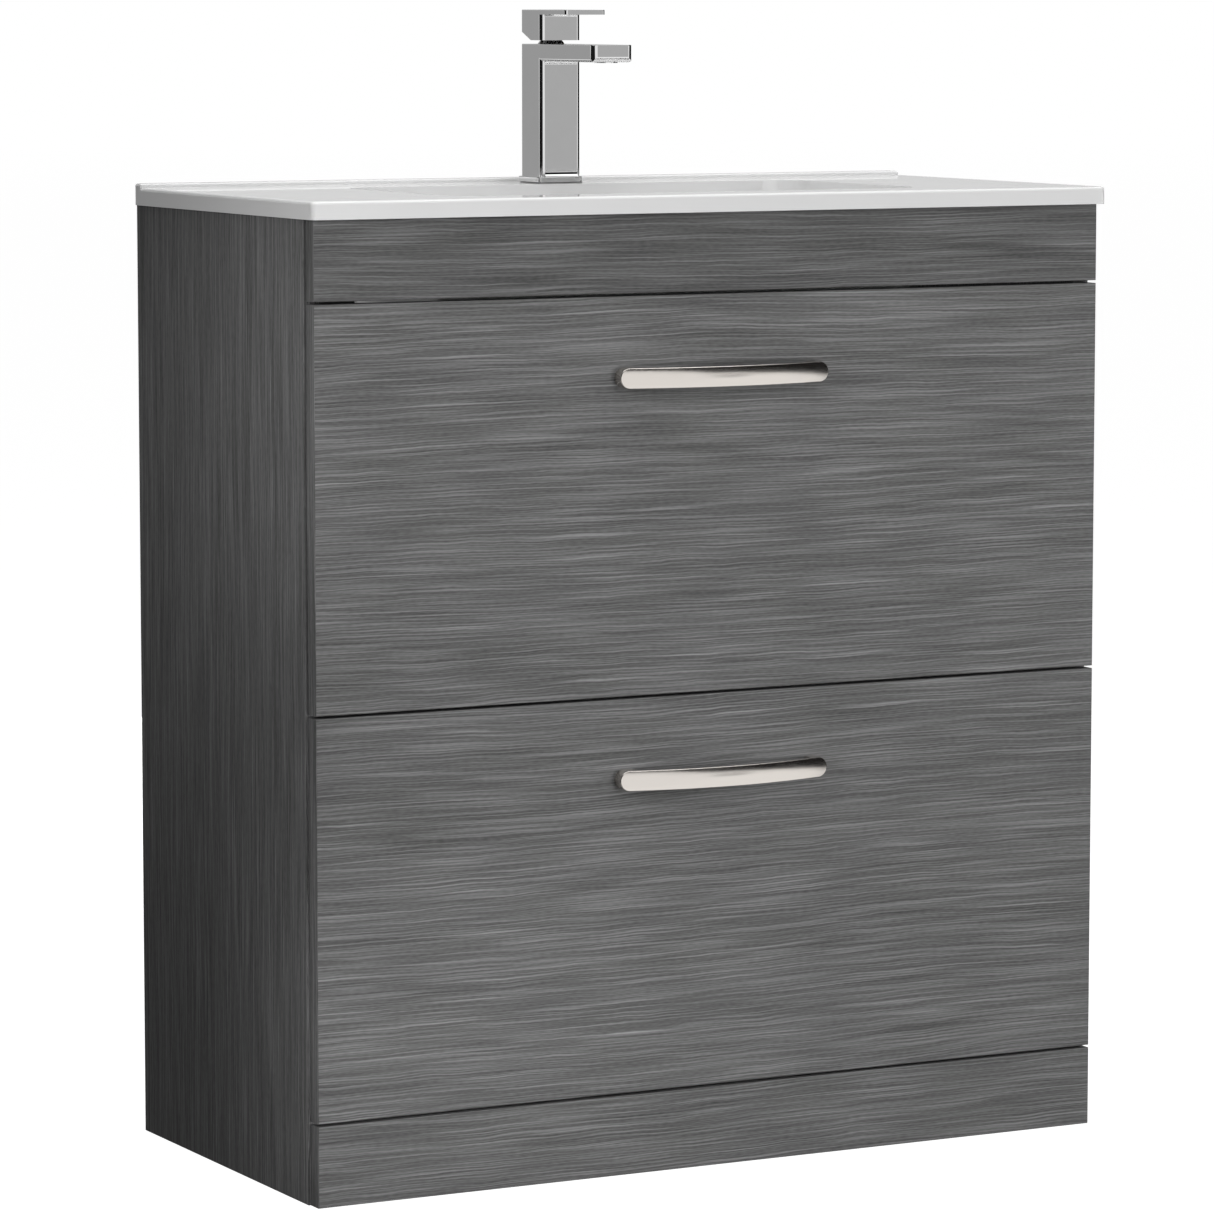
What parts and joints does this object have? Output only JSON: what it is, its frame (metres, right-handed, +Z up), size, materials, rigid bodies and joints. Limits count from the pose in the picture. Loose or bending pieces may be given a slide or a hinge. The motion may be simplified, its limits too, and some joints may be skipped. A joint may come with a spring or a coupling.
{
  "type": "bathroom vanity cabinet",
  "caption": "Floor-standing bathroom vanity cabinet in grey woodgrain board with deep bow-handled drawers, a slab-rim basin, and a square single-lever mixer tap.",
  "frame": {"origin": "on the floor, at the centre of the whole object's bounding box", "axes": "+Z up, +Y towards the wall, +X to the right for a person facing the drawers"},
  "size_m": [0.806, 0.4113, 1.042],
  "materials": {
    "grey_woodgrain": "satin melamine board with a fine grey woodgrain print",
    "carcass_board": "satin melamine board",
    "drawer_board": "satin melamine board",
    "drawer_steel": "powder coated",
    "runner_steel": "zinc plated",
    "zinc_fittings": "zinc plated",
    "beech_dowel": "plain",
    "satin_nickel": "satin nickel plate",
    "basin_ceramic": "gloss glaze",
    "chrome_plate": "polished",
    "brass": "plain",
    "cartridge_plastic": "matte",
    "trap_plastic": "gloss",
    "recess_plastic": "matte",
    "rubber": "matte"
  },
  "bodies": {
    "cabinet": {"back_rail_bottom": "carcass_board", "back_rail_top": "carcass_board", "base_panel": "carcass_board", "basin_bowl": "basin_ceramic", "basin_rim": "basin_ceramic", "cam_fittings": "zinc_fittings", "fascia_panel": "grey_woodgrain", "front_screws": "zinc_fittings", "middle_rail": "carcass_board", "overflow_ring": "chrome_plate", "panel_dowels": "beech_dowel", "plinth_panel": "grey_woodgrain", "plinth_rails": "carcass_board", "rubber_parts": "rubber", "runner_fixed_members": "runner_steel", "side_panel_left": "grey_woodgrain", "side_panel_right": "grey_woodgrain", "tap_aerator": "chrome_plate", "tap_body": "chrome_plate", "tap_cartridge": "cartridge_plastic", "tap_stud": "brass", "tap_washer_and_nut": "brass", "top_front_rail": "carcass_board", "trap_body": "trap_plastic", "trap_cup": "trap_plastic", "trap_nuts": "trap_plastic", "trap_outlet_pipe": "trap_plastic", "waste_backnut": "brass", "waste_body": "chrome_plate"},
    "upper_drawer": {"upper_drawer_back": "drawer_board", "upper_drawer_base": "drawer_board", "upper_drawer_front": "grey_woodgrain", "upper_drawer_sides": "drawer_steel", "upper_front_brackets": "drawer_steel", "upper_gallery_rails": "drawer_steel", "upper_handle": "satin_nickel", "upper_handle_screws": "zinc_fittings", "upper_runner_inner": "runner_steel", "upper_trap_recess_liner": "recess_plastic"},
    "upper_runner_middles": {"upper_runner_middle": "runner_steel"},
    "upper_outer_cages": {"upper_ball_cages_outer": "runner_steel"},
    "upper_inner_cages": {"upper_ball_cages_inner": "runner_steel"},
    "lower_drawer": {"lower_drawer_back": "drawer_board", "lower_drawer_base": "drawer_board", "lower_drawer_front": "grey_woodgrain", "lower_drawer_sides": "drawer_steel", "lower_front_brackets": "drawer_steel", "lower_gallery_rails": "drawer_steel", "lower_handle": "satin_nickel", "lower_handle_screws": "zinc_fittings", "lower_runner_inner": "runner_steel"},
    "lower_runner_middles": {"lower_runner_middle": "runner_steel"},
    "lower_outer_cages": {"lower_ball_cages_outer": "runner_steel"},
    "lower_inner_cages": {"lower_ball_cages_inner": "runner_steel"},
    "tap_swivel": {"tap_swivel_dome": "chrome_plate", "tap_lever_pin": "zinc_fittings"},
    "tap_handle": {"tap_lever": "chrome_plate", "tap_lever_stem": "brass", "tap_grub_screw": "zinc_fittings"},
    "plug": {"waste_plug": "chrome_plate"}
  },
  "joints": [
    {"name": "upper_drawer_slide", "type": "slide", "parent": "cabinet", "child": "upper_drawer", "axis": [0, -1, 0], "range_m": [0, 0.29]},
    {"name": "upper_runner_middles_slide", "type": "slide", "parent": "cabinet", "child": "upper_runner_middles", "axis": [0, -1, 0], "range_m": [0, 0.145]},
    {"name": "upper_outer_cages_slide", "type": "slide", "parent": "cabinet", "child": "upper_outer_cages", "axis": [0, -1, 0], "range_m": [0, 0.0725]},
    {"name": "upper_inner_cages_slide", "type": "slide", "parent": "cabinet", "child": "upper_inner_cages", "axis": [0, -1, 0], "range_m": [0, 0.2175]},
    {"name": "lower_drawer_slide", "type": "slide", "parent": "cabinet", "child": "lower_drawer", "axis": [0, -1, 0], "range_m": [0, 0.29]},
    {"name": "lower_runner_middles_slide", "type": "slide", "parent": "cabinet", "child": "lower_runner_middles", "axis": [0, -1, 0], "range_m": [0, 0.145]},
    {"name": "lower_outer_cages_slide", "type": "slide", "parent": "cabinet", "child": "lower_outer_cages", "axis": [0, -1, 0], "range_m": [0, 0.0725]},
    {"name": "lower_inner_cages_slide", "type": "slide", "parent": "cabinet", "child": "lower_inner_cages", "axis": [0, -1, 0], "range_m": [0, 0.2175]},
    {"name": "tap_swivel_turn", "type": "hinge", "parent": "cabinet", "child": "tap_swivel", "pos_m": [0, 0.15165, 1.003], "axis": [0, 0, 1], "range_deg": [-45, 45]},
    {"name": "tap_lever_lift", "type": "hinge", "parent": "tap_swivel", "child": "tap_handle", "pos_m": [0, 0.15165, 1.003], "axis": [-1, 0, 0], "range_deg": [0, 24]},
    {"name": "waste_plug_press", "type": "slide", "parent": "cabinet", "child": "plug", "axis": [0, 0, -1], "range_m": [0, 0.007]}
  ],
  "couplings": [
    {"joint": "upper_runner_middles_slide", "follows": "upper_drawer_slide", "ratio": 0.5},
    {"joint": "upper_outer_cages_slide", "follows": "upper_drawer_slide", "ratio": 0.25},
    {"joint": "upper_inner_cages_slide", "follows": "upper_drawer_slide", "ratio": 0.75},
    {"joint": "lower_runner_middles_slide", "follows": "lower_drawer_slide", "ratio": 0.5},
    {"joint": "lower_outer_cages_slide", "follows": "lower_drawer_slide", "ratio": 0.25},
    {"joint": "lower_inner_cages_slide", "follows": "lower_drawer_slide", "ratio": 0.75}
  ]
}
